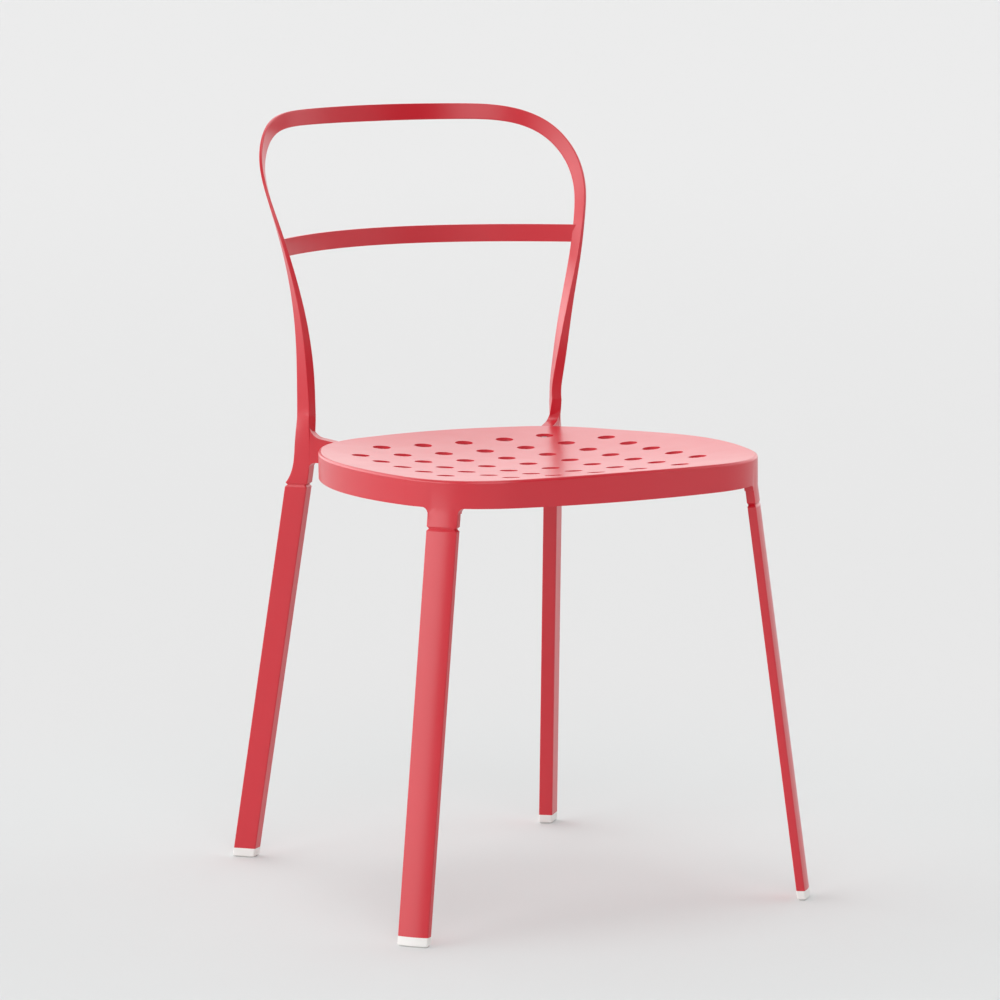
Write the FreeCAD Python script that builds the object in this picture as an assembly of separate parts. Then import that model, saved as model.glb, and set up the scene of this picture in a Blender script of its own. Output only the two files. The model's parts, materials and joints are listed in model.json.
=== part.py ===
import FreeCAD, Part
import math
import os

# A chair of painted aluminium: a dished seat with round holes on four splayed legs,
# and a hoop of twisted flat bar with one slat for a back.
# Sizes are in millimetres and angles in degrees. The front faces -Y, Z points up and
# +X is the sitter's left. The origin is on the floor, below the middle of the chair.

# Whole chair
chair_height = 789.2
chair_depth = 543.0
overrun = 6.0  # how far a cutting shape runs past what it cuts
clearance = 0.2  # round a tongue or plug in its socket

# Seat: eight tangent arcs in plan, a dish of even depth on top, a skirt all round
seat_width = 419.6
seat_depth = 411.0
seat_rim_height = 454.0
dish_depth = 14.0
skirt_depth = 29.0
plate_thickness = 3.0
skirt_thickness = 3.0
rim_radius = 2.6
front_edge_radius = 560.0
back_edge_radius = 498.0
side_edge_radius = 340.0
front_corner_radius = 113.0
back_corner_radius = 99.5
widest_offset = 23.0  # the seat is widest this far in front of its middle
hole_diameter = 18.5
hole_pitch = 47.5
holes_across = 7

# Joint of a stub and its leg: a notch all round, a tongue inside, two screws behind
joint_drop = 20.5  # below the skirt
notch_side_depth = 2.2  # on the narrow sides
notch_face_depth = 0.9  # on the wide faces
notch_rise = 2.2  # half of the notch's height
leg_edge_radius = 1.6
leg_wall = 2.4
tongue_length = 40.0
leg_screw_diameter = 4.0
leg_screw_head_diameter = 7.0
leg_screw_head_height = 1.5
leg_screw_length = 5.4
leg_screw_drop = 12.0  # from the joint to the first
leg_screw_pitch = 16.0

# Front leg: a shallow section, crowned on its outer face
front_leg_width = 32.5
front_leg_edge = 8.6
front_leg_crown = 1.8
front_leg_turn = 51.5  # its outer face is turned this far from the front
front_splay_out = 49.0  # from the skirt's lower edge down to the floor
front_splay_ahead = 19.5
stub_fillet = 6.0

# Rear leg: a plain box section
rear_leg_width = 24.8
rear_leg_thickness = 15.0
rear_leg_turn = 48.3
rear_splay_out = 31.7  # from the joint down to the floor
rear_splay_behind = 78.3

# Glides under the legs
glide_height = 9.8
glide_chamfer = 1.6
glide_plug_length = 20.0

# Back hoop: one flat bar, widest at shoulder height, twisted down each side
hoop_side_inset = 27.3  # from the widest place of the seat in to the hoop's own
hoop_foot_behind = 8.15  # the back edge of the seat
hoop_foot_rise = 24.0  # above the rim of the seat
rail_width = 17.5
rail_lean = 7.0
hoop_foot_thickness = 10.4
hoop_tongue_length = 18.0
hoop_tongue_inset = 2.4
bar_edge_radius = 1.0
# One row for each place from foot to rail: across, behind and up as shares of the half
# width, the bow from its foremost place and the rise; turn of the bar's outer face from
# the front; its width as a share of the rail's and its thickness as a share of the foot's
hoop_shares = [
    (0.803, 0.074, 0.000, 71.0, 1.03, 1.00),
    (0.810, 0.055, 0.100, 73.5, 0.98, 1.00),
    (0.823, 0.030, 0.185, 80.0, 0.97, 0.93),
    (0.859, 0.004, 0.344, 90.0, 0.92, 0.66),
    (0.913, 0.006, 0.503, 101.0, 0.83, 0.46),
    (0.962, 0.052, 0.635, 109.0, 0.80, 0.34),
    (0.993, 0.118, 0.729, 116.0, 0.81, 0.32),
    (0.985, 0.280, 0.850, 125.0, 0.85, 0.31),
    (0.901, 0.460, 0.936, 131.0, 0.89, 0.32),
    (0.757, 0.665, 0.983, 139.0, 0.92, 0.33),
    (0.483, 0.885, 0.998, 159.0, 0.96, 0.34),
    (0.000, 1.000, 1.000, 180.0, 1.00, 0.34),
]

# Slat between the sides of the hoop
slat_drop = 127.9  # from the middle line of the rail to its own
slat_width = 18.4
slat_thickness = 3.6
slat_bow = 85.0
slat_behind = 3.4  # of the middle of the bar that it meets

# Rear knuckle: a column from leg to hoop, with an arm forward to the seat
knuckle_splay_out = 3.8  # from the hoop's foot down to the joint
knuckle_splay_behind = 13.6
knuckle_waist_depth = 3.0  # how far its back is cut in above the leg
# One row for each place between joint and foot, all as shares: height, depth of the
# waist, and how far width, thickness and turn have changed from the leg's to the hoop's
knuckle_shares = [
    (0.10, 0.50, 0.42, 0.05, 0.00),
    (0.21, 0.93, 0.76, 0.15, 0.00),
    (0.41, 1.00, 0.93, 0.37, 0.07),
    (0.69, 0.53, 1.00, 0.67, 0.45),
]
arm_height_share = 0.48  # of the column's height, where its middle plane crosses the arm's
arm_thickness = 12.4
arm_below_rim = 5.0
arm_above_skirt = 3.4
arm_fall = 11.5  # slope of its top towards the seat
arm_upper_fillet = 14.0
arm_lower_fillet = 6.5
arm_root_inset = 0.2  # its faces start this far inside the column's
arm_screw_diameter = 4.0
arm_screw_head_diameter = 7.8
arm_screw_head_height = 3.6
arm_screw_length = 12.0
arm_screw_pitch = 9.0
arm_screw_above_skirt = 10.0
grub_diameter = 3.4
grub_length = 1.5
grub_drop = 5.0  # from the hoop's foot to the first
grub_pitch = 7.0

# Places that follow from the sizes above
half_width = seat_width / 2
half_depth = seat_depth / 2
seat_front = -chair_depth / 2
seat_middle = seat_front + half_depth
seat_back = seat_front + seat_depth
skirt_bottom = seat_rim_height - skirt_depth
joint_height = skirt_bottom - joint_drop
hoop_foot_height = seat_rim_height + hoop_foot_rise
origin = FreeCAD.Vector(0, 0, 0)
across = FreeCAD.Vector(1, 0, 0)
up = FreeCAD.Vector(0, 0, 1)


def mix(start, end, share):
    return start + (end - start) * share


def polar(centre, radius, angle):
    # Angle in degrees from +X
    a = math.radians(angle)
    return centre + FreeCAD.Vector(radius * math.cos(a), radius * math.sin(a), 0)


def bearing(start, end):
    return math.degrees(math.atan2(end.y - start.y, end.x - start.x))


def arc_between(centre, radius, start_angle, end_angle):
    middle_angle = (start_angle + end_angle) / 2
    ends = [polar(centre, radius, angle) for angle in (start_angle, middle_angle, end_angle)]
    return Part.Arc(*ends).toShape()


def rounded_box(centre, along, outward, width, thickness, radius):
    # A rectangle with its width along one direction and its thickness along the other
    turns = []
    for x, y in ((1, -1), (1, 1), (-1, 1), (-1, -1)):
        corner = centre + along * x * width / 2 + outward * y * thickness / 2
        places = [corner - along * x * radius, corner, corner - outward * y * radius]
        turns.append(places if x != y else places[::-1])
    edges = []
    for turn, following in zip(turns, turns[1:] + turns[:1]):
        curve = Part.BezierCurve()
        curve.setPoles(turn)
        edges.append(curve.toShape())
        edges.append(Part.LineSegment(turn[2], following[0]).toShape())
    return Part.Wire(edges)


def closed_wire(points):
    return Part.makePolygon(points + [points[0]])


def extrude_face(wire, height):
    return Part.Face(wire).extrude(up * height)


# Seat outline

def corner_centre(first, first_radius, second, second_radius, corner_radius, toward):
    # Middle of a corner arc that touches two larger arcs from inside; of the two
    # places it keeps the one furthest towards a direction
    a = first_radius - corner_radius
    b = second_radius - corner_radius
    line = second - first
    along = (a * a - b * b + line.Length * line.Length) / (2 * line.Length)
    aside = math.sqrt(a * a - along * along)
    unit = line / line.Length
    normal = FreeCAD.Vector(-unit.y, unit.x, 0)
    places = [first + unit * along + normal * aside, first + unit * along - normal * aside]
    return max(places, key=lambda place: place.dot(toward))


front_arc_centre = FreeCAD.Vector(0, seat_front + front_edge_radius, 0)
back_arc_centre = FreeCAD.Vector(0, seat_back - back_edge_radius, 0)
side_arc_centre = FreeCAD.Vector(half_width - side_edge_radius, seat_middle - widest_offset, 0)
front_corner = corner_centre(front_arc_centre, front_edge_radius, side_arc_centre,
                             side_edge_radius, front_corner_radius,
                             FreeCAD.Vector(1, -1, 0))
back_corner = corner_centre(side_arc_centre, side_edge_radius, back_arc_centre,
                            back_edge_radius, back_corner_radius,
                            FreeCAD.Vector(1, 1, 0))


def seat_outline(inset, height):
    front_angle = bearing(front_arc_centre, front_corner)
    side_front_angle = bearing(side_arc_centre, front_corner)
    side_back_angle = bearing(side_arc_centre, back_corner)
    back_angle = bearing(back_arc_centre, back_corner)
    half = [
        arc_between(front_corner, front_corner_radius - inset, front_angle, side_front_angle),
        arc_between(side_arc_centre, side_edge_radius - inset, side_front_angle, side_back_angle),
        arc_between(back_corner, back_corner_radius - inset, side_back_angle, back_angle),
    ]
    other_half = [edge.mirror(origin, across) for edge in half]
    ends = [
        arc_between(front_arc_centre, front_edge_radius - inset, -180 - front_angle, front_angle),
        arc_between(back_arc_centre, back_edge_radius - inset, back_angle, 180 - back_angle),
    ]
    outline = Part.Wire(Part.__sortEdges__(half + other_half + ends))
    outline.translate(up * height)
    return outline


# Seat surface

def above_dish(drop):
    # Everything above the dish, lowered by drop: one quadratic patch, extruded upwards.
    # The dish rises from its middle to the same height at the middle of all four edges
    reach_share = 1.1
    ordinates = [1 - reach_share ** 2, 1 + reach_share ** 2, 1 - reach_share ** 2]
    poles = []
    for i in range(3):
        row = []
        for j in range(3):
            x = (i - 1) * reach_share * half_width
            y = seat_middle + (j - 1) * reach_share * half_depth
            z = seat_rim_height - drop - dish_depth * ordinates[i] * ordinates[j]
            row.append(FreeCAD.Vector(x, y, z))
        poles.append(row)
    patch = Part.BSplineSurface()
    patch.buildFromPolesMultsKnots(poles, [3, 3], [3, 3], [0, 1], [0, 1], False, False, 2, 2)
    return patch.toShape().extrude(up * (chair_height - seat_rim_height))


# Leg sections, level with the floor; an inset is one depth for the narrow sides and one
# for the wide faces

def leg_directions(turn):
    a = math.radians(turn)
    outward = FreeCAD.Vector(math.sin(a), -math.cos(a), 0)
    along = FreeCAD.Vector(math.cos(a), math.sin(a), 0)
    return along, outward


def softened(section):
    # Inward and out again, which leaves its corners rounded
    return section.makeOffset2D(-leg_edge_radius).makeOffset2D(leg_edge_radius)


def front_section(centre, inset):
    along, outward = leg_directions(front_leg_turn)
    side_inset, face_inset = inset
    half = front_leg_width / 2
    edge = front_leg_edge / 2
    radius = (half ** 2 + front_leg_crown ** 2) / (2 * front_leg_crown)
    middle = edge + front_leg_crown - radius
    side = half - side_inset
    shoulder = middle + math.sqrt((radius - face_inset) ** 2 - side ** 2)
    crown = edge + front_leg_crown - face_inset

    def place(x, y):
        return centre + along * x + outward * y

    back_left = place(-side, face_inset - edge)
    back_right = place(side, face_inset - edge)
    front_right = place(side, shoulder)
    front_left = place(-side, shoulder)
    return softened(Part.Wire([
        Part.LineSegment(back_left, back_right).toShape(),
        Part.LineSegment(back_right, front_right).toShape(),
        Part.Arc(front_right, place(0, crown), front_left).toShape(),
        Part.LineSegment(front_left, back_left).toShape(),
    ]))


def rear_section(centre, inset):
    along, outward = leg_directions(rear_leg_turn)
    side_inset, face_inset = inset
    return rounded_box(centre, along, outward, rear_leg_width - 2 * side_inset,
                       rear_leg_thickness - 2 * face_inset, leg_edge_radius)


def axis_point(top, foot, height):
    return foot + (top - foot) * (height - foot.z) / (top.z - foot.z)


# Back hoop

hoop_rail_thickness = hoop_foot_thickness * hoop_shares[-1][5]
lean = math.radians(rail_lean)
rail_middle_height = (chair_height - rail_width / 2 * math.cos(lean)
                      - hoop_rail_thickness / 2 * math.sin(lean))
rail_middle_y = (chair_depth / 2 - hoop_rail_thickness / 2 * math.cos(lean)
                 - rail_width / 2 * math.sin(lean))
hoop_half_width = half_width - hoop_side_inset
hoop_rise = rail_middle_height - hoop_foot_height
hoop_bow = (rail_middle_y - seat_back - hoop_foot_behind) / (1 - hoop_shares[0][1])
hoop_front = rail_middle_y - hoop_bow


def hoop_place(row, side):
    return FreeCAD.Vector(side * row[0] * hoop_half_width, hoop_front + row[1] * hoop_bow,
                          hoop_foot_height + row[2] * hoop_rise)


def hoop_frames():
    # Middle, tangent, outer normal, width and thickness at each place, foot to foot
    rows = [(row, 1) for row in hoop_shares] + [(row, -1) for row in hoop_shares[-2::-1]]
    places = [hoop_place(row, side) for row, side in rows]
    line = Part.BSplineCurve()
    line.interpolate(places)
    frames = []
    for (row, side), place in zip(rows, places):
        tangent = line.tangent(line.parameter(place))[0]
        turn = math.radians(row[3])
        outward = FreeCAD.Vector(side * math.sin(turn) * math.cos(lean),
                                 -math.cos(turn) * math.cos(lean), -math.sin(lean))
        normal = outward - tangent * outward.dot(tangent)
        normal.normalize()
        frames.append((place, tangent, normal, row[4] * rail_width,
                       row[5] * hoop_foot_thickness))
    return frames


def bar_section(frame, inset):
    place, tangent, normal, width, thickness = frame
    return rounded_box(place, tangent.cross(normal), normal, width - 2 * inset,
                       thickness - 2 * inset, bar_edge_radius)


hoop_line = hoop_frames()
hoop_end = hoop_line[0]
hoop_foot = hoop_end[0]
rear_top = FreeCAD.Vector(hoop_foot.x + knuckle_splay_out, hoop_foot.y + knuckle_splay_behind,
                          joint_height)
knuckle_down = rear_top - hoop_foot
knuckle_down.normalize()


def hoop_tongue(gap):
    # The bar's end, stepped in on all sides, runs on down into the knuckle
    section = bar_section(hoop_end, hoop_tongue_inset - gap)
    return Part.Face(section).extrude(knuckle_down * (hoop_tongue_length + gap))


def build_hoop():
    bar = Part.makeLoft([bar_section(frame, 0) for frame in hoop_line], True, False)
    tongue = hoop_tongue(0)
    return bar.fuse([tongue, tongue.mirror(origin, across)])


def beyond_bar(frames):
    # Everything on the outer side of the bar's middle, over a few places of its line
    sections = []
    for place, tangent, normal, width, thickness in frames:
        wide = tangent.cross(normal) * (width / 2 + overrun)
        far = normal * (2 * overrun)
        sections.append(closed_wire([place - wide, place + wide, place + wide + far,
                                     place - wide + far]))
    return Part.makeLoft(sections, True, False)


def build_slat(hoop):
    # Bowed level strip; each end is cut back to the inner face of the bar
    share = (hoop_rise - slat_drop) / hoop_rise
    above = next(index for index, row in enumerate(hoop_shares) if row[2] > share)
    lower_row, upper_row = hoop_shares[above - 1], hoop_shares[above]
    bar_middle = mix(hoop_place(lower_row, 1), hoop_place(upper_row, 1),
                     (share - lower_row[2]) / (upper_row[2] - lower_row[2]))
    reach = bar_middle.x + overrun
    end_y = bar_middle.y + slat_behind - slat_bow * ((reach / bar_middle.x) ** 2 - 1)
    bow = bar_middle.y + slat_behind + slat_bow - end_y
    floor = FreeCAD.Vector(0, end_y, rail_middle_height - slat_drop - slat_width / 2)
    curves = []
    for offset in (-slat_thickness / 2, slat_thickness / 2):
        curve = Part.BezierCurve()
        curve.setPoles([floor + FreeCAD.Vector(-reach, offset, 0),
                        floor + FreeCAD.Vector(0, 2 * bow + offset, 0),
                        floor + FreeCAD.Vector(reach, offset, 0)])
        curves.append(curve)
    front, back = curves
    outline = Part.Wire([
        front.toShape(),
        Part.LineSegment(front.EndPoint, back.EndPoint).toShape(),
        back.toShape(),
        Part.LineSegment(back.StartPoint, front.StartPoint).toShape(),
    ])
    outside = beyond_bar(hoop_line[above - 2:above + 2])
    return extrude_face(outline, slat_width).cut([hoop, outside, outside.mirror(origin, across)])


# Leg axes on the left side; the right side is the mirror image

front_top = polar(front_corner, front_corner_radius - front_leg_edge / 2 - front_leg_crown,
                  front_leg_turn - 90)
front_top.z = skirt_bottom
front_foot = front_top + FreeCAD.Vector(front_splay_out, -front_splay_ahead, -skirt_bottom)
rear_foot = rear_top + FreeCAD.Vector(rear_splay_out, rear_splay_behind, -joint_height)
front_axis = (front_top, front_foot)
rear_axis = (rear_top, rear_foot)


def section_at(section, axis, height, inset):
    return section(axis_point(axis[0], axis[1], height), inset)


def straight_loft(section, axis, steps):
    return Part.makeLoft([section_at(section, axis, height, inset) for height, inset in steps],
                         True, True)


flush = (0, 0)
notched = (notch_side_depth, notch_face_depth)
bored = (leg_wall, leg_wall)
fitted = (leg_wall + clearance, leg_wall + clearance)


def leg_tongue(section, axis):
    return straight_loft(section, axis, [(joint_height - tongue_length, fitted),
                                         (joint_height + notch_rise, fitted)])


def leg_screw_frames(axis, turn, half_thickness):
    # Each screw stands square on the face that looks in under the seat
    along, outward = leg_directions(turn)
    rising = axis[0] - axis[1]
    inward = rising.cross(along)
    inward.normalize()
    if inward.dot(outward) > 0:
        inward = inward * -1
    frames = []
    for index in range(2):
        height = joint_height - leg_screw_drop - index * leg_screw_pitch
        middle = axis_point(axis[0], axis[1], height)
        face = middle - outward * half_thickness
        frames.append((face, inward * -1))
    return frames


def leg_screw(face, into):
    # Countersunk: a cone through the wall, then the shank
    cone = Part.makeCone(leg_screw_head_diameter / 2, leg_screw_diameter / 2,
                         leg_screw_head_height, face, into)
    shank = Part.makeCylinder(leg_screw_diameter / 2, leg_screw_length, face, into)
    return cone.fuse(shank).removeSplitter()


def screw_pair(frames):
    return Part.makeCompound([leg_screw(face, into) for face, into in frames])


front_screws = leg_screw_frames(front_axis, front_leg_turn, front_leg_edge / 2)
rear_screws = leg_screw_frames(rear_axis, rear_leg_turn, rear_leg_thickness / 2)


def build_leg(section, axis, screws):
    outside = straight_loft(section, axis, [(glide_height, flush),
                                            (joint_height - notch_rise, flush),
                                            (joint_height, notched)])
    bore = straight_loft(section, axis, [(glide_height - overrun, bored),
                                         (joint_height + overrun, bored)])
    return outside.cut(bore).cut(screw_pair(screws))


def build_glide(section, axis):
    tread = (glide_chamfer, glide_chamfer)
    shoe = straight_loft(section, axis, [(0, tread), (glide_chamfer, flush),
                                         (glide_height, flush)])
    plug = straight_loft(section, axis, [(glide_height, fitted),
                                         (glide_height + glide_plug_length, fitted)])
    return shoe.fuse(plug)


# Seat pan with its front stubs, cast in one

def stub_webs():
    # The rounded corners between the stub's narrow sides and the skirt's lower edge
    along, outward = leg_directions(front_leg_turn)
    back = front_top - outward * (front_leg_edge / 2)
    below = extrude_face(seat_outline(0, skirt_bottom - stub_fillet), stub_fillet)
    webs = []
    for side in (-1, 1):
        start = back + along * side * (front_leg_width / 2 - leg_edge_radius)
        end = back + along * side * (front_leg_width / 2 + stub_fillet)
        down = up * -stub_fillet
        profile = closed_wire([start, end, end + down, start + down])
        block = Part.Face(profile).extrude(outward * front_corner_radius)
        hollow = Part.makeCylinder(stub_fillet, front_corner_radius, end + down, outward)
        webs.append(block.cut(hollow).common(below))
    return webs


def stub_boss():
    # Thickens the skirt behind the stub and its webs
    along, outward = leg_directions(front_leg_turn)
    back = front_top - outward * (front_leg_edge / 2)
    half = along * (front_leg_width / 2 + stub_fillet)
    out = outward * front_corner_radius
    base = closed_wire([back - half, back + half, back + half + out, back - half + out])
    return extrude_face(base, skirt_depth)


def build_front_stub(screws):
    stub = straight_loft(front_section, front_axis, [(joint_height, notched),
                                                     (joint_height + notch_rise, flush),
                                                     (seat_rim_height, flush)])
    stub = stub.fuse(stub_boss()).cut(above_dish(plate_thickness / 2))
    within = extrude_face(seat_outline(skirt_thickness / 2, skirt_bottom), skirt_depth)
    below = extrude_face(seat_outline(-front_corner_radius, 0), skirt_bottom)
    stub = stub.common(within.fuse(below))
    tongue = leg_tongue(front_section, front_axis)
    return stub.fuse([tongue] + stub_webs()).cut(screw_pair(screws))


arm_start = mix(rear_top, hoop_foot, arm_height_share)
arm_start.z = 0


def arm_contact():
    # Where the arm's middle plane meets the inner face of the skirt, and the way out there
    along, outward = leg_directions(rear_leg_turn)
    radius = back_corner_radius - skirt_thickness
    offset = arm_start - back_corner
    reach = offset.dot(along)
    aside = offset - along * reach
    contact = aside + along * math.sqrt(radius ** 2 - aside.Length ** 2)
    return back_corner + contact, contact / radius


def arm_screws(gap):
    # On the inner face of the skirt, one above the other
    contact, way = arm_contact()
    head_radius = arm_screw_head_diameter / 2
    radius = back_corner_radius - skirt_thickness
    seat_gap = radius - math.sqrt(radius ** 2 - head_radius ** 2)
    screws = []
    for index in range(2):
        height = skirt_bottom + arm_screw_above_skirt + index * arm_screw_pitch
        place = contact - way * seat_gap + up * height
        shank = Part.makeCylinder(arm_screw_diameter / 2 + gap, arm_screw_length, place, way)
        head = Part.makeCylinder(head_radius, arm_screw_head_height,
                                 place - way * arm_screw_head_height, way)
        screws.append(shank if gap > 0 else head.fuse(shank).removeSplitter())
    return Part.makeCompound(screws)


def hole_drills():
    drills = []
    for i in range(holes_across):
        for j in range(holes_across):
            if i in (0, holes_across - 1) and j in (0, holes_across - 1):
                continue
            x = (i - (holes_across - 1) / 2) * hole_pitch
            y = seat_middle + (j - (holes_across - 1) / 2) * hole_pitch
            drills.append(Part.makeCylinder(hole_diameter / 2, skirt_depth + dish_depth,
                                            FreeCAD.Vector(x, y, skirt_bottom)))
    return drills


def build_pan():
    block = extrude_face(seat_outline(0, skirt_bottom), skirt_depth + overrun)
    block = block.cut(above_dish(0))
    rim_edges = [edge for edge in block.Edges
                 if edge.BoundBox.ZMin > skirt_bottom + skirt_depth / 2]
    block = block.makeFillet(rim_radius, rim_edges)
    cavity = extrude_face(seat_outline(skirt_thickness, skirt_bottom - overrun),
                          skirt_depth + overrun)
    cavity = cavity.cut(above_dish(plate_thickness))
    pan = block.cut(cavity).cut(hole_drills())
    left_stub = build_front_stub(front_screws)
    right_stub = left_stub.mirror(origin, across)
    pan = pan.fuse([left_stub, right_stub])
    screws = arm_screws(clearance)
    return pan.cut([screws, screws.mirror(origin, across)])


# Rear knuckle

def column_place(rise_share, waist_share, width_share, thickness_share, turn_share):
    # Middle, directions, width and thickness of the column at one place of its rise
    along, outward = leg_directions(mix(rear_leg_turn, hoop_shares[0][3], turn_share))
    centre = mix(rear_top, hoop_foot, rise_share) - along * waist_share * knuckle_waist_depth
    return (centre, along, outward, mix(rear_leg_width, hoop_end[3], width_share),
            mix(rear_leg_thickness, hoop_end[4], thickness_share))


def column_at(height):
    # The same at any height, between two rows
    rise_share = (height - joint_height) / (hoop_foot.z - joint_height)
    rows = [(0, 0, 0, 0, 0)] + knuckle_shares + [(1, 0, 1, 1, 1)]
    above = next((row for row in rows if row[0] > rise_share), rows[-1])
    below = rows[rows.index(above) - 1]
    share = (rise_share - below[0]) / (above[0] - below[0])
    return column_place(*[mix(low, high, share) for low, high in zip(below, above)])


def knuckle_column():
    sections = [section_at(rear_section, rear_axis, joint_height + notch_rise, flush)]
    for row in knuckle_shares:
        centre, along, outward, width, thickness = column_place(*row)
        sections.append(rounded_box(centre, along, outward, width, thickness,
                                    mix(leg_edge_radius, bar_edge_radius, row[2])))
    sections.append(bar_section(hoop_end, 0))
    return Part.makeLoft(sections, True, False)


def arm_blade(low, high):
    # The arm's thickness: level sections from the column's front corners to the seat, so
    # that its wide faces run on from the column's
    along, outward = leg_directions(rear_leg_turn)
    contact, way = arm_contact()
    sections = []
    steps = 6
    for index in range(steps + 1):
        height = mix(low, high, index / steps)
        centre, column_along, column_outward, width, thickness = column_at(height)
        root = centre - column_along * (width / 2 - leg_edge_radius)
        tip = contact + up * height
        root_side = column_outward * (thickness / 2 - arm_root_inset)
        tip_side = outward * (arm_thickness / 2)
        sections.append(closed_wire([root + root_side, tip + tip_side, tip - tip_side,
                                     root - root_side]))
    return Part.makeLoft(sections, True, False)


def knuckle_arm():
    # A profile in the upright plane of the leg's wide face, from the column to the seat
    along, outward = leg_directions(rear_leg_turn)
    contact, way = arm_contact()
    arm_length = (arm_start - contact).dot(along)
    fall = math.radians(arm_fall)
    seat_top = seat_rim_height - arm_below_rim
    bottom = skirt_bottom + arm_above_skirt

    def front_reach(height):
        # From the arm's start to the column's outer front corner
        centre, column_along, column_outward, width, thickness = column_at(height)
        corner = centre - column_along * (width / 2) + column_outward * (thickness / 2)
        return (arm_start - corner).dot(along)

    def place(reach, height):
        return arm_start - along * reach + up * height - outward * rear_leg_width

    def fillet(radius, reach, height, first, last):
        turns = [math.radians(mix(first, last, share)) for share in (0, 0.5, 1)]
        return [place(reach + radius * math.cos(a), height + radius * math.sin(a)) for a in turns]

    front_top_reach = front_reach(hoop_foot_height)
    rise = math.atan2(front_top_reach - front_reach(seat_top), hoop_foot_height - seat_top)
    radius = arm_upper_fillet
    upper_height = (seat_top + radius / math.cos(fall) + math.tan(fall)
                    * (arm_length - front_top_reach - radius / math.cos(rise)
                       + hoop_foot_height * math.tan(rise)))
    upper_height = upper_height / (1 + math.tan(rise) * math.tan(fall))
    upper_reach = (front_top_reach + radius / math.cos(rise)
                   + (upper_height - hoop_foot_height) * math.tan(rise))
    upper = fillet(radius, upper_reach, upper_height, 180 - math.degrees(rise), 270 - arm_fall)
    lower_height = bottom - arm_lower_fillet
    lower_reach = front_reach(lower_height) + arm_lower_fillet
    lower = fillet(arm_lower_fillet, lower_reach, lower_height, 90, 180)
    corners = [upper[2], place(arm_length, seat_top), place(arm_length, bottom), lower[0]]
    root = front_reach(seat_top) - rear_leg_width / 2
    back = [lower[2], place(root, lower_height), place(root, upper_height), upper[0]]
    profile = Part.Wire([Part.Arc(*upper).toShape()] + Part.makePolygon(corners).Edges
                        + [Part.Arc(*lower).toShape()] + Part.makePolygon(back).Edges)
    slab = Part.Face(profile).extrude(outward * 2 * rear_leg_width)
    return arm_blade(lower_height, upper[0].z).common(slab)


def grub_screws(extra):
    # From the narrow rear face of the knuckle in to the hoop's tongue
    place, tangent, normal, width, thickness = hoop_end
    wide = tangent.cross(normal)
    rearward = wide if wide.y > 0 else wide * -1
    screws = []
    for index in range(2):
        depth = grub_drop + index * grub_pitch
        tip = place + knuckle_down * depth + rearward * (width / 2 - hoop_tongue_inset)
        screws.append(Part.makeCylinder(grub_diameter / 2, grub_length + extra, tip, rearward))
    return Part.makeCompound(screws)


def build_knuckle():
    seat_block = extrude_face(seat_outline(0, skirt_bottom - overrun),
                              skirt_depth + 2 * overrun)
    arm = knuckle_arm().cut(seat_block)
    notch = straight_loft(rear_section, rear_axis, [(joint_height, notched),
                                                    (joint_height + notch_rise, flush)])
    body = knuckle_column().fuse([arm, notch, leg_tongue(rear_section, rear_axis)])
    return body.cut([hoop_tongue(clearance), arm_screws(clearance), grub_screws(overrun),
                     screw_pair(rear_screws)])


def save(name, shape):
    shape.exportStep("parts/" + name + ".step")
    print(name, "solids", len(shape.Solids), "volume", round(shape.Volume),
          "valid", shape.isValid())


def save_pair(name, shape):
    save(name + "_left", shape)
    save(name + "_right", shape.mirror(origin, across))


os.makedirs("parts", exist_ok=True)
hoop = build_hoop()
save("seat_pan", build_pan())
save("back_hoop", hoop)
save("back_slat", build_slat(hoop))
save_pair("rear_knuckle", build_knuckle())
save_pair("front_leg", build_leg(front_section, front_axis, front_screws))
save_pair("rear_leg", build_leg(rear_section, rear_axis, rear_screws))
save_pair("front_glide", build_glide(front_section, front_axis))
save_pair("rear_glide", build_glide(rear_section, rear_axis))
save_pair("front_leg_screws", screw_pair(front_screws))
save_pair("rear_leg_screws", screw_pair(rear_screws))
save_pair("arm_screws", arm_screws(0))
save_pair("hoop_grub_screws", grub_screws(0))
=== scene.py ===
import json
import math

import bpy
from mathutils import Matrix, Vector
from mathutils.bvhtree import BVHTree
from mathutils.interpolate import poly_3d_calc


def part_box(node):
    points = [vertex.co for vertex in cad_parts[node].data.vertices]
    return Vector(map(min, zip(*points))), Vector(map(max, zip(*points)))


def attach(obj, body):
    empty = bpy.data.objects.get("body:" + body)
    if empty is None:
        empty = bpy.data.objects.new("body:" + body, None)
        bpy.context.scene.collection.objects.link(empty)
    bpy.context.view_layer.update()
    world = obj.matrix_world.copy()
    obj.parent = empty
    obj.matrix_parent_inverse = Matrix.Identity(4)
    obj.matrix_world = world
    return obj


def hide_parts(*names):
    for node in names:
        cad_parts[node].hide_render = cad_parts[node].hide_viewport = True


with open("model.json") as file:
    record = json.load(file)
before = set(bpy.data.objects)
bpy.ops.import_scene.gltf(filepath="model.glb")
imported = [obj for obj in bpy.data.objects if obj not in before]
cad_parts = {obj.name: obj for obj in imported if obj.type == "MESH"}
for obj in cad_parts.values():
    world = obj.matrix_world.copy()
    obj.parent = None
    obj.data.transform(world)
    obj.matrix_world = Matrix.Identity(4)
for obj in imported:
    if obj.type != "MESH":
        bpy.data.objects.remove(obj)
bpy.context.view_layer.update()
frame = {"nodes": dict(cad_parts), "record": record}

nodes = frame["nodes"]
print("frame loaded,", len(nodes), "nodes")


# Shader helpers: a socket that takes part in Python maths, and a maker of nodes

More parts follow.
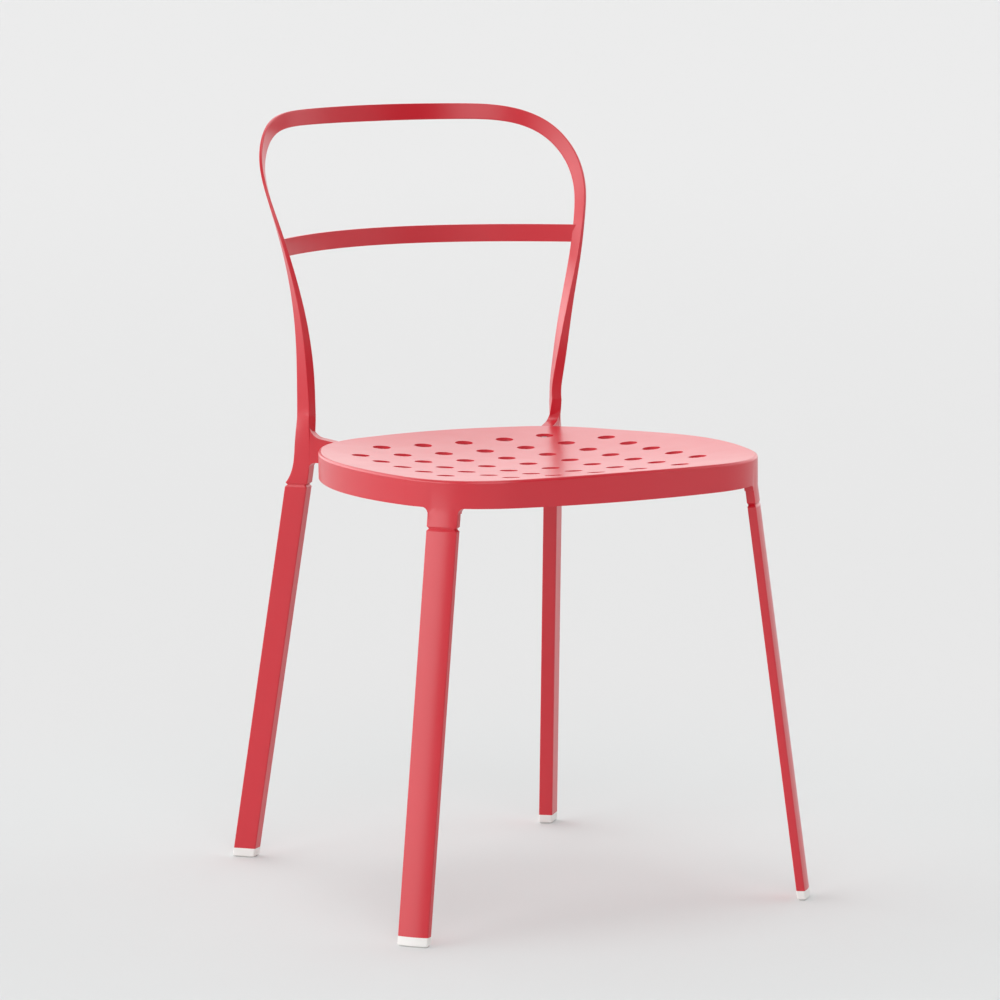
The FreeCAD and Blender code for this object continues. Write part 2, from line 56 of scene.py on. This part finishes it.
class Value:
    def __init__(self, shader, socket):
        self.shader = shader
        self.socket = socket

    def maths(self, operation, first, second):
        return self.shader.node("ShaderNodeMath", {"operation": operation}, [first, second])

    def __add__(self, other):
        return self.maths("ADD", self, other)

    def __radd__(self, other):
        return self.maths("ADD", other, self)

    def __sub__(self, other):
        return self.maths("SUBTRACT", self, other)

    def __mul__(self, other):
        return self.maths("MULTIPLY", self, other)

    def __gt__(self, other):
        return self.maths("GREATER_THAN", self, other)


class Shader:
    def __init__(self, owner, outputKind="ShaderNodeOutputMaterial"):
        self.owner = owner
        owner.use_nodes = True
        self.tree = owner.node_tree
        self.tree.nodes.clear()
        self.output = self.tree.nodes.new(outputKind)

    def node(self, kind, settings=None, inputs=None, out=0):
        made = self.tree.nodes.new(kind)
        for key, value in (settings or {}).items():
            if key == "stops":
                self.setStops(made.color_ramp, value)
            else:
                setattr(made, key, value)
        pairs = inputs.items() if isinstance(inputs, dict) else enumerate(inputs or [])
        for key, value in pairs:
            if isinstance(value, Value):
                self.tree.links.new(value.socket, made.inputs[key])
            else:
                made.inputs[key].default_value = value
        return Value(self, made.outputs[out])

    def setStops(self, ramp, stops):
        while len(ramp.elements) > 1:
            ramp.elements.remove(ramp.elements[-1])
        for index, (place, shade) in enumerate(stops):
            element = ramp.elements[0] if index == 0 else ramp.elements.new(place)
            element.position = place
            element.color = (shade, shade, shade, 1)

    def place(self):
        return self.node("ShaderNodeTexCoord", out="Object")

    def axis(self, vector, name):
        return self.node("ShaderNodeSeparateXYZ", {}, [vector], name)

    def noise(self, scale, detail, roughness=0.5):
        return self.node("ShaderNodeTexNoise", {}, {
            "Vector": self.place(), "Scale": scale, "Detail": detail, "Roughness": roughness})

    def ramp(self, value, stops):
        return self.node("ShaderNodeValToRGB", {"stops": stops}, [value])

    def rise(self, value, low, high):
        return self.node("ShaderNodeMapRange", {"interpolation_type": "SMOOTHSTEP"}, {
            "Value": value, "From Min": low, "From Max": high})

    def mixColour(self, share, first, second):
        # Sockets 6 and 7 are the colours of a Mix node, and output 2 is its colour
        return self.node("ShaderNodeMix", {"data_type": "RGBA"},
                         {0: share, 6: first, 7: second}, 2)

    def bump(self, strength, distance, height):
        return self.node("ShaderNodeBump", {}, {
            "Strength": strength, "Distance": distance, "Height": height})

    def principled(self, inputs):
        return self.finish(self.node("ShaderNodeBsdfPrincipled", {}, inputs))

    def finish(self, surface):
        self.tree.links.new(surface.socket, self.output.inputs["Surface"])
        return self.owner


# Finishes: noise scales are in cells per metre, heights in metres

paint = {
    "colour": (0.575, 0.0070, 0.021, 1),
    "paler": (0.60, 0.0095, 0.025, 1),
    "deeper": (0.55, 0.0050, 0.017, 1),
    "cloudScale": 5.0,  # wide drift between the deeper and the plain tone
    "cloudStops": [(0.35, 0.0), (0.65, 1.0)],
    "grainScale": 2400.0,
    "grainShare": 0.30,
    "roughness": 0.30,
    "roughnessScale": 38.0,
    "roughnessSwing": 0.05,
    "ior": 1.66,
    "peelScale": 620.0,  # the powder coat's orange peel
    "peelHeight": 0.000015,
    "peelStrength": 0.35,
}


def paintMaterial():
    shader = Shader(bpy.data.materials.new("redPowderCoat"))
    cloud = shader.ramp(shader.noise(paint["cloudScale"], 3.0), paint["cloudStops"])
    grain = shader.noise(paint["grainScale"], 1.0)
    body = shader.mixColour(cloud, paint["deeper"], paint["colour"])
    colour = shader.mixColour(grain * paint["grainShare"], body, paint["paler"])
    peel = shader.noise(paint["peelScale"], 2.0, 0.4)
    swing = (shader.noise(paint["roughnessScale"], 3.0) - 0.5) * paint["roughnessSwing"]
    return shader.principled({
        "Base Color": colour,
        "Roughness": paint["roughness"] + swing,
        "Normal": shader.bump(paint["peelStrength"], paint["peelHeight"], peel),
        "IOR": paint["ior"]})


plastic = {
    "colour": (0.80, 0.78, 0.76, 1),
    "darkFoot": (0.42, 0.39, 0.36, 1),
    "darkFootTo": 0.0016,  # height above the floor at which the darker band ends
    "darkFootShare": 0.45,
    "edgeScale": 400.0,
    "edgeSwing": 0.001,
    "roughness": 0.5,
    "grainScale": 1800.0,
    "grainHeight": 0.00005,
    "grainStrength": 0.3,
}


def plasticMaterial():
    shader = Shader(bpy.data.materials.new("whitePlastic"))
    swing = (shader.noise(plastic["edgeScale"], 3.0) - 0.5) * plastic["edgeSwing"]
    # The glide turns darker in a thin band at its foot, fading out a little above the floor,
    # with a wavy upper edge
    footDarkening = shader.node("ShaderNodeMapRange", {}, {
        "Value": shader.axis(shader.place(), "Z") + swing, "From Min": 0.0,
        "From Max": plastic["darkFootTo"], "To Min": plastic["darkFootShare"], "To Max": 0.0})
    grain = shader.noise(plastic["grainScale"], 2.0)
    return shader.principled({
        "Base Color": shader.mixColour(footDarkening, plastic["colour"], plastic["darkFoot"]),
        "Roughness": plastic["roughness"],
        "Normal": shader.bump(plastic["grainStrength"], plastic["grainHeight"], grain)})


steel = {
    "darker": (0.46, 0.46, 0.47, 1),
    "brighter": (0.62, 0.62, 0.63, 1),
    "streakScale": 1500.0,
    "roughness": 0.28,
    "roughnessSwing": 0.2,
}


def steelMaterial():
    shader = Shader(bpy.data.materials.new("plainSteel"))
    streak = shader.noise(steel["streakScale"], 4.0, 0.6)
    return shader.principled({
        "Base Color": shader.mixColour(streak, steel["darker"], steel["brighter"]),
        "Roughness": steel["roughness"] + streak * steel["roughnessSwing"],
        "Metallic": 1.0})


finishes = {"red_paint": paintMaterial(), "white_plastic": plasticMaterial(),
            "steel": steelMaterial()}
slots = {part["node"]: part["material_slot"] for part in frame["record"]["subparts"]}
print("finishes made")


# Shapes: every painted or moulded node is copied, joined up and given small rounded edges

soften = {
    "join": 0.000002,  # corners closer than this are one
    "flat": 0.05,  # degrees between faces that count as one flat face
    "sharp": 40.0,  # degrees from which an edge is rounded
    "smooth": 60.0,  # degrees up to which faces are shaded as one
    "steps": 2,  # faces across a rounded edge
    "touch": 0.00003,  # how near a corner lies to the node's surface to count as on it
    "alike": 0.5,  # cosine between a face and the node's face below it, at least
    "edge": {"seat_pan": 0.0006, "back_hoop": 0.0004, "back_slat": 0.0006, "glide": 0.0006,
             "leg": 0.0005, "knuckle": 0.0004},
}
# The ledge of the solids where a front stub meets the skirt, which the paint runs over
stubBlend = {
    "middle": (0.1762, -0.2194),  # of the stub on the side of +X, which the other mirrors
    "reach": 0.0180,
    "low": 0.4185,
    "high": 0.4251,
    "crease": 0.4246,  # height from which the shading is smoothed anew
    "join": 0.0007,
}


def deselectAll():
    bpy.ops.object.select_all(action="DESELECT")


def adopt(piece, *nodeNames):
    # Rides on the chair in place of its nodes, with their finish
    slot = slots[nodeNames[0]]
    piece.data.materials.clear()
    piece.data.materials.append(finishes[slot])
    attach(piece, "root")
    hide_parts(*nodeNames)


def edgeWidth(nodeName):
    return next(width for name, width in soften["edge"].items() if name in nodeName)


def nearStub(place):
    across, along = stubBlend["middle"]
    aside = math.hypot(abs(place.x) - across, place.y - along)
    return aside < stubBlend["reach"] and stubBlend["low"] < place.z < stubBlend["high"]


def atCrease(place):
    return nearStub(place) and place.z > stubBlend["crease"]


def selectCorners(piece, wanted):
    bpy.ops.mesh.select_mode(type="VERT")
    bpy.ops.mesh.select_all(action="DESELECT")
    bpy.ops.object.mode_set(mode="OBJECT")
    for corner in piece.data.vertices:
        corner.select = wanted(corner.co)
    bpy.ops.object.mode_set(mode="EDIT")


def normalsFrom(node, piece):
    # A corner that still lies on the node's surface has the node's own normal there
    source, mesh = node.data, piece.data
    points = [vertex.co for vertex in source.vertices]
    tree = BVHTree.FromPolygons(points, [tuple(face.vertices) for face in source.polygons])
    near = [tree.find_nearest_range(vertex.co, soften["touch"]) for vertex in mesh.vertices]
    normals = [Vector() for corner in mesh.loops]
    for face in mesh.polygons:
        for corner in face.loop_indices:
            index = mesh.loops[corner].vertex_index
            place = mesh.vertices[index].co
            hit = max(near[index], key=lambda found: found[1].dot(face.normal), default=None)
            if hit is None or hit[1].dot(face.normal) < soften["alike"] or atCrease(place):
                continue
            under = source.polygons[hit[2]]
            shares = poly_3d_calc([points[spot] for spot in under.vertices], place)
            for share, spot in zip(shares, under.loop_indices):
                normals[corner] += share * source.corner_normals[spot].vector
    mesh.normals_split_custom_set(normals)


def softCopy(nodeName):
    deselectAll()
    node = nodes[nodeName]
    node.select_set(True)
    bpy.context.view_layer.objects.active = node
    bpy.ops.object.duplicate()
    piece = bpy.context.object
    piece.name = nodeName + ".finished"
    bpy.ops.mesh.customdata_custom_splitnormals_clear()
    bpy.ops.object.mode_set(mode="EDIT")
    bpy.ops.mesh.select_all(action="SELECT")
    bpy.ops.mesh.remove_doubles(threshold=soften["join"])
    if nodeName == "seat_pan":
        selectCorners(piece, nearStub)
        bpy.ops.mesh.remove_doubles(threshold=stubBlend["join"])
        bpy.ops.mesh.select_all(action="SELECT")
    bpy.ops.mesh.dissolve_limited(angle_limit=math.radians(soften["flat"]))
    bpy.ops.mesh.select_all(action="DESELECT")
    bpy.ops.mesh.select_mode(type="EDGE")
    bpy.ops.mesh.edges_select_sharp(sharpness=math.radians(soften["sharp"]))
    bpy.ops.mesh.bevel(offset=edgeWidth(nodeName), segments=soften["steps"], affect="EDGES",
                       clamp_overlap=True)
    bpy.ops.object.mode_set(mode="OBJECT")
    bpy.ops.object.shade_smooth_by_angle(angle=math.radians(soften["smooth"]))
    normalsFrom(node, piece)
    adopt(piece, nodeName)


for nodeName in nodes:
    if slots[nodeName] != "steel":
        softCopy(nodeName)
print("edges softened")


# Screws: one of each kind is made head up at the origin, then copied to its places
# facing is -1 where the heads look at the chair's middle, and 1 where they look away

screwKinds = {
    "leg_screws": {"head": 0.0070, "underHead": 0.0040, "rise": 0.0015, "shank": 0.0040,
                   "length": 0.0039, "key": 0.0025, "keyDepth": 0.0011, "rim": 0.00018,
                   "facing": -1},
    "arm_screws": {"head": 0.0078, "underHead": 0.0078, "rise": 0.0036, "shank": 0.0040,
                   "length": 0.0120, "key": 0.0030, "keyDepth": 0.0020, "rim": 0.00050,
                   "facing": -1},
    "grub_screws": {"head": 0.0034, "underHead": 0.0034, "rise": 0.0009, "shank": 0.0030,
                    "length": 0.0006, "key": 0.0015, "keyDepth": 0.0007, "rim": 0.00020,
                    "facing": 1},
}
screwMaking = {
    "sides": 48,
    "keySides": 6,
    "rimSteps": 3,
    "smooth": 32.0,  # degrees up to which faces are shaded as one
    "upright": 0.9,  # share of a normal along the screw, from which a face is an end
    "outward": 0.2,  # share of a normal across the chair, from which a face may be a head
    "turns": (11.0, 38.0),  # degrees that the key sockets of a pair happen to stand at
}


def selectFaces(piece, wanted):
    bpy.ops.mesh.select_mode(type="FACE")
    bpy.ops.mesh.select_all(action="DESELECT")
    bpy.ops.object.mode_set(mode="OBJECT")
    for face in piece.data.polygons:
        face.select = wanted(face)
    bpy.ops.object.mode_set(mode="EDIT")


def makeScrew(kindName):
    kind = screwKinds[kindName]
    deselectAll()
    bpy.ops.mesh.primitive_cylinder_add(vertices=screwMaking["sides"], radius=kind["head"] / 2,
                                        depth=kind["rise"], location=(0, 0, -kind["rise"] / 2))
    screw = bpy.context.object
    screw.name = kindName + ".pattern"
    bpy.ops.object.transform_apply(location=True, rotation=True, scale=True)
    bpy.ops.object.mode_set(mode="EDIT")
    selectFaces(screw, lambda face: face.normal.z < -screwMaking["upright"])
    taper = kind["underHead"] / kind["head"]
    bpy.ops.transform.resize(value=(taper, taper, 1.0), center_override=(0, 0, -kind["rise"]))
    if kind["shank"] < kind["underHead"]:
        bpy.ops.mesh.inset(thickness=(kind["underHead"] - kind["shank"]) / 2)
    bpy.ops.mesh.extrude_region_move(TRANSFORM_OT_translate={"value": (0, 0, -kind["length"])})
    bpy.ops.mesh.bevel(offset=kind["rim"], segments=1, affect="EDGES")
    selectFaces(screw, lambda face: face.normal.z > screwMaking["upright"])
    bpy.ops.mesh.bevel(offset=kind["rim"], segments=screwMaking["rimSteps"], affect="EDGES")
    bpy.ops.object.mode_set(mode="OBJECT")
    deselectAll()
    bpy.ops.mesh.primitive_cylinder_add(vertices=screwMaking["keySides"],
                                        radius=kind["key"] / math.sqrt(3.0),
                                        depth=kind["keyDepth"] * 2, location=(0, 0, 0))
    key = bpy.context.object
    bite = screw.modifiers.new("keySocket", "BOOLEAN")
    bite.operation = "DIFFERENCE"
    bite.solver = "EXACT"
    bite.object = key
    bpy.context.view_layer.objects.active = screw
    bpy.ops.object.modifier_apply(modifier=bite.name)
    bpy.data.objects.remove(key, do_unlink=True)
    deselectAll()
    screw.select_set(True)
    bpy.ops.object.shade_smooth_by_angle(angle=math.radians(screwMaking["smooth"]))
    return screw


def middleOf(group):
    area = sum(face.area for face in group)
    return sum((face.center * face.area for face in group), Vector()) / area


def headsOf(nodeName, facing):
    # Middle and direction of the flat heads of a node, the upper one first
    flats = {}
    for face in nodes[nodeName].data.polygons:
        aside = Vector((face.center.x, face.center.y, 0)).normalized()
        if face.normal.dot(aside) * facing > screwMaking["outward"]:
            key = tuple(round(share, 2) for share in face.normal)
            flats.setdefault(key, []).append(face)
    heads = max(flats.values(), key=lambda group: sum(face.area for face in group))
    middleHeight = sum(corner[2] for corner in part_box(nodeName)) / 2
    upper = [face for face in heads if face.center.z > middleHeight]
    lower = [face for face in heads if face.center.z <= middleHeight]
    return [middleOf(upper), middleOf(lower)], heads[0].normal.normalized()


def placeScrews(nodeName, pattern, facing):
    places, direction = headsOf(nodeName, facing)
    upright = direction.to_track_quat("Z", "Y").to_matrix().to_4x4()
    copies = []
    for place, turn in zip(places, screwMaking["turns"]):
        copied = bpy.data.objects.new(nodeName + ".copy", pattern.data.copy())
        bpy.context.scene.collection.objects.link(copied)
        copied.matrix_world = (Matrix.Translation(place) @ upright
                               @ Matrix.Rotation(math.radians(turn), 4, "Z"))
        copies.append(copied)
    deselectAll()
    for copied in copies:
        copied.select_set(True)
    bpy.context.view_layer.objects.active = copies[0]
    bpy.ops.object.transform_apply(location=True, rotation=True, scale=True)
    bpy.ops.object.join()
    pair = bpy.context.object
    pair.name = nodeName + ".finished"
    adopt(pair, nodeName)


for kindName, kind in screwKinds.items():
    pattern = makeScrew(kindName)
    for nodeName in nodes:
        if kindName in nodeName:
            placeScrews(nodeName, pattern, kind["facing"])
    bpy.data.objects.remove(pattern, do_unlink=True)
print("screws placed")


# Floor: a little cooler below the chair, painted so against the red light that the paint throws
# on it, and painted paler far away

floorPlan = {
    "radius": 60.0,
    "sides": 96,
    "under": (0.684, 0.702, 0.702, 1),
    "underTo": 0.4,
    "nearFrom": 1.3,
    "near": (0.698, 0.698, 0.698, 1),
    "nearTo": 1.5,
    "farFrom": 12.0,
    "far": (0.720, 0.720, 0.720, 1),
    "glow": 0.10,  # share of a painted glow in what the camera sees, which calms the shadow; it is paler far away
    "glowNear": (0.755, 0.757, 0.757, 1),
    "glowFar": (0.84, 0.84, 0.84, 1),
}


def buildFloor():
    deselectAll()
    bpy.ops.mesh.primitive_circle_add(vertices=floorPlan["sides"], radius=floorPlan["radius"],
                                      fill_type="NGON", location=(0, 0, 0))
    floor = bpy.context.object
    floor.name = "floor"
    shader = Shader(bpy.data.materials.new("paleFloor"))
    distance = shader.node("ShaderNodeVectorMath", {"operation": "LENGTH"}, [shader.place()],
                           "Value")
    # Painted light: cooler under the chair against the paint's red bounce, and paler with
    # distance
    outside = shader.rise(distance, floorPlan["underTo"], floorPlan["nearFrom"])
    away = shader.rise(distance, floorPlan["nearTo"], floorPlan["farFrom"])
    near = shader.mixColour(outside, floorPlan["under"], floorPlan["near"])
    lit = shader.node("ShaderNodeBsdfDiffuse", {}, {
        "Color": shader.mixColour(away, near, floorPlan["far"])})
    glow = shader.node("ShaderNodeEmission", {}, {
        "Color": shader.mixColour(away, floorPlan["glowNear"], floorPlan["glowFar"])})
    calm = shader.node("ShaderNodeLightPath", out="Is Camera Ray") * floorPlan["glow"]
    mixed = shader.node("ShaderNodeMixShader", {}, [calm, lit, glow])
    floor.data.materials.append(shader.finish(mixed))


buildFloor()
print("floor laid")


# Light: a surround that is bright behind the chair and above it, and broad lamps
# A lamp's place is the direction it shines from, and its angle is how wide it looks

surround = {"behind": 2.10, "above": 0.60, "seen": (0.82, 0.82, 0.825, 1)}
lamps = {
    "left": {"power": 1.55, "angle": 48.0, "place": (-1.0, -0.03, 0.18)},
    "leftRear": {"power": 1.15, "angle": 60.0, "place": (-0.70, 0.68, 0.16)},
    "right": {"power": 0.60, "angle": 44.0, "place": (0.9, -0.2, 0.4)},
    "rightRear": {"power": 0.50, "angle": 44.0, "place": (0.9, 0.45, 0.30)},
    "front": {"power": 0.96, "angle": 44.0, "place": (-0.45, -0.9, 0.50)},
    "frontRight": {"power": 0.25, "angle": 44.0, "place": (0.7, -0.7, 0.3)},
    "top": {"power": 0.45, "angle": 24.0, "place": (-0.05, 0.04, 1.0)},
}


def buildSurround():
    world = bpy.data.worlds.new("surround")
    bpy.context.scene.world = world
    shader = Shader(world, "ShaderNodeOutputWorld")
    direction = shader.node("ShaderNodeTexCoord", out="Generated")
    back = shader.axis(direction, "Y")
    up = shader.axis(direction, "Z")
    strength = (back * back * (back > 0.0) * surround["behind"]
                + up * up * surround["above"])
    lit = shader.node("ShaderNodeBackground", {}, {"Color": (1, 1, 1, 1), "Strength": strength})
    seen = shader.node("ShaderNodeBackground", {}, {"Color": surround["seen"]})
    cameraRay = shader.node("ShaderNodeLightPath", out="Is Camera Ray")
    shader.finish(shader.node("ShaderNodeMixShader", {}, [cameraRay, lit, seen]))


def buildLamp(name):
    bpy.ops.object.light_add(type="SUN", location=(0, 0, 3))
    lamp = bpy.context.object
    lamp.name = name + "Lamp"
    lamp.data.energy = lamps[name]["power"]
    lamp.data.angle = math.radians(lamps[name]["angle"])
    lamp.rotation_mode = "QUATERNION"
    lamp.rotation_quaternion = Vector(lamps[name]["place"]).to_track_quat("Z", "Y")


buildSurround()
for lampName in lamps:
    buildLamp(lampName)
print("lights set")


# Camera, solved from the seat holes, the feet and the rails
# Turns are in degrees, the focal length and the frame in pixels of the photograph

eye = {"place": (-2.3039, -4.4089, 1.0609), "yaw": -27.605, "pitch": 7.619, "roll": -0.577,
       "focal": 4895.1, "frame": 1000, "sensor": 36.0}


def buildCamera():
    yaw, pitch, roll = (math.radians(eye[name]) for name in ("yaw", "pitch", "roll"))
    forward = Vector((-math.sin(yaw) * math.cos(pitch), math.cos(yaw) * math.cos(pitch),
                      -math.sin(pitch)))
    level = Vector((math.cos(yaw), math.sin(yaw), 0))
    upright = level.cross(forward)
    right = math.cos(roll) * level + math.sin(roll) * upright
    top = -math.sin(roll) * level + math.cos(roll) * upright
    camera = bpy.data.objects.new("camera", bpy.data.cameras.new("camera"))
    bpy.context.scene.collection.objects.link(camera)
    camera.data.sensor_width = eye["sensor"]
    camera.data.lens = eye["focal"] * eye["sensor"] / eye["frame"]
    camera.matrix_world = (Matrix.Translation(eye["place"])
                           @ Matrix((right, top, -forward)).transposed().to_4x4())
    bpy.context.scene.camera = camera


buildCamera()
bpy.context.scene.view_settings.view_transform = "Standard"
